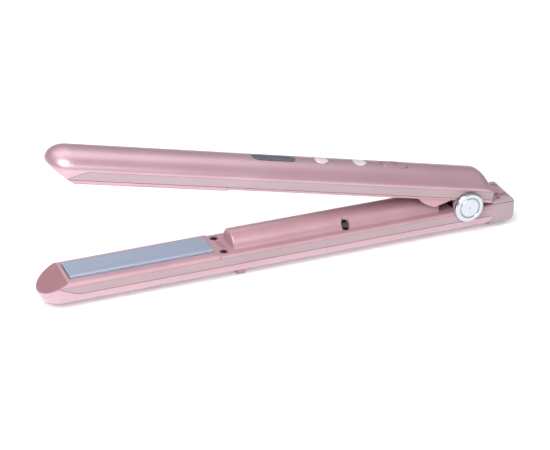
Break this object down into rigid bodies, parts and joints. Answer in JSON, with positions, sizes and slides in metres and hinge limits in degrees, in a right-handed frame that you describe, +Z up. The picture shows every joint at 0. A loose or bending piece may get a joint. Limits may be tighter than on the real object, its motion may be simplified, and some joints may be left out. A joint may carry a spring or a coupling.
{
  "type": "flat iron",
  "caption": "Slim cordless hair straightener: two long rounded arms hinged at the rear, floating heat plates, battery handle, display and buttons on top.",
  "frame": {"origin": "on the table under the middle of the iron's length, where the lower arm rests on its feet", "axes": "+X towards the hinge and the end block, arm tips at -X; +Y across the arms; +Z up, the upper arm swung open"},
  "size_m": [0.288, 0.0328, 0.0941],
  "materials": {
    "rose_satin_cover": "satin lacquer",
    "rose_matte_band": "fine matte",
    "rose_heat_resistant": "smooth moulded",
    "ceramic_coating": "polished ceramic coating on aluminium",
    "alumina": "sintered",
    "spring_steel": "plain",
    "polished_steel": "spun",
    "silicone": "moulded silicone",
    "dark_rubber": "moulded",
    "silver_button": "metallic lacquer",
    "rose_button": "satin lacquer",
    "smoked_window": "tinted, polished",
    "display_glass": "segment display",
    "circuit_board": "solder mask",
    "switch_plastic": "moulded",
    "cell_can": "shrink sleeve",
    "nickel_strip": "plain",
    "cradle_plastic": "moulded",
    "washer_plastic": "acetal",
    "wire_jacket": "silicone jacket",
    "fuse_can": "plain"
  },
  "bodies": {
    "lower_arm": {"lower_outer_cover": "rose_satin_cover", "lower_side_frame": "rose_matte_band", "lower_plate_tray": "rose_heat_resistant", "lower_tip_insert": "rose_heat_resistant", "handle_inner_cover": "rose_heat_resistant", "lower_tail_cover": "rose_heat_resistant", "rear_end_block": "rose_heat_resistant", "front_rest_foot": "rose_heat_resistant", "rear_rubber_foot": "dark_rubber", "lower_plate_cushion_front": "silicone", "lower_plate_cushion_rear": "silicone", "handle_screw_front_left": "spring_steel", "handle_screw_front_right": "spring_steel", "handle_screw_side_left": "spring_steel", "handle_screw_side_right": "spring_steel", "hinge_pin": "spring_steel", "hinge_cap_left": "polished_steel", "hinge_cap_right": "polished_steel", "hinge_washer_left": "washer_plastic", "hinge_washer_right": "washer_plastic", "torsion_spring": "spring_steel", "battery_cell_front": "cell_can", "battery_cell_rear": "cell_can", "battery_strip": "nickel_strip", "battery_cradle": "cradle_plastic", "charge_board": "circuit_board", "charge_socket": "spring_steel", "lower_wire": "wire_jacket"},
    "lower_plate": {"lower_heat_plate": "ceramic_coating", "lower_ceramic_heater": "alumina", "lower_heater_clamp": "spring_steel", "lower_temperature_sensor": "alumina", "lower_thermal_fuse": "fuse_can"},
    "upper_arm": {"upper_outer_cover": "rose_satin_cover", "upper_side_frame": "rose_matte_band", "upper_plate_tray": "rose_heat_resistant", "upper_tip_insert": "rose_heat_resistant", "upper_inner_cover": "rose_heat_resistant", "upper_hinge_yoke": "rose_heat_resistant", "lock_bar": "spring_steel", "upper_plate_cushion_front": "silicone", "upper_plate_cushion_rear": "silicone", "upper_screw_left": "spring_steel", "upper_screw_right": "spring_steel", "display_window": "smoked_window", "display_module": "display_glass", "control_board": "circuit_board", "minus_switch": "switch_plastic", "plus_switch": "switch_plastic", "power_switch": "switch_plastic", "upper_wire": "wire_jacket"},
    "upper_plate": {"upper_heat_plate": "ceramic_coating", "upper_ceramic_heater": "alumina", "upper_heater_clamp": "spring_steel", "upper_temperature_sensor": "alumina", "upper_thermal_fuse": "fuse_can"},
    "minus_key": {"minus_button": "silver_button"},
    "plus_key": {"plus_button": "silver_button"},
    "power_key": {"power_button": "rose_button"},
    "lock_key": {"lock_slider": "rose_heat_resistant"}
  },
  "joints": [
    {"name": "arm_hinge", "type": "hinge", "parent": "lower_arm", "child": "upper_arm", "pos_m": [0.1128, 0, 0.0199], "axis": [0, 1, 0], "range_deg": [-13.2, 0], "stiffness_Nm_per_rad": 0.5, "springref_deg": 28.65, "deforming": ["torsion_spring"]},
    {"name": "lower_plate_float", "type": "slide", "parent": "lower_arm", "child": "lower_plate", "axis": [0, 0, -1], "range_m": [0, 0.0008], "stiffness_N_per_m": 3000, "springref_m": -0.0004, "deforming": ["lower_plate_cushion_front", "lower_plate_cushion_rear"]},
    {"name": "upper_plate_float", "type": "slide", "parent": "upper_arm", "child": "upper_plate", "axis": [0.2284, 0, 0.9736], "range_m": [0, 0.0008], "stiffness_N_per_m": 3000, "springref_m": -0.0004, "deforming": ["upper_plate_cushion_front", "upper_plate_cushion_rear"]},
    {"name": "minus_press", "type": "slide", "parent": "upper_arm", "child": "minus_key", "axis": [-0.2284, 0, -0.9736], "range_m": [0, 0.0006], "stiffness_N_per_m": 800, "springref_m": -0.0002},
    {"name": "plus_press", "type": "slide", "parent": "upper_arm", "child": "plus_key", "axis": [-0.2284, 0, -0.9736], "range_m": [0, 0.0006], "stiffness_N_per_m": 800, "springref_m": -0.0002},
    {"name": "power_press", "type": "slide", "parent": "upper_arm", "child": "power_key", "axis": [-0.2284, 0, -0.9736], "range_m": [0, 0.0006], "stiffness_N_per_m": 800, "springref_m": -0.0002},
    {"name": "lock_slide", "type": "slide", "parent": "lower_arm", "child": "lock_key", "axis": [-1, 0, 0], "range_m": [0, 0.0038]}
  ]
}
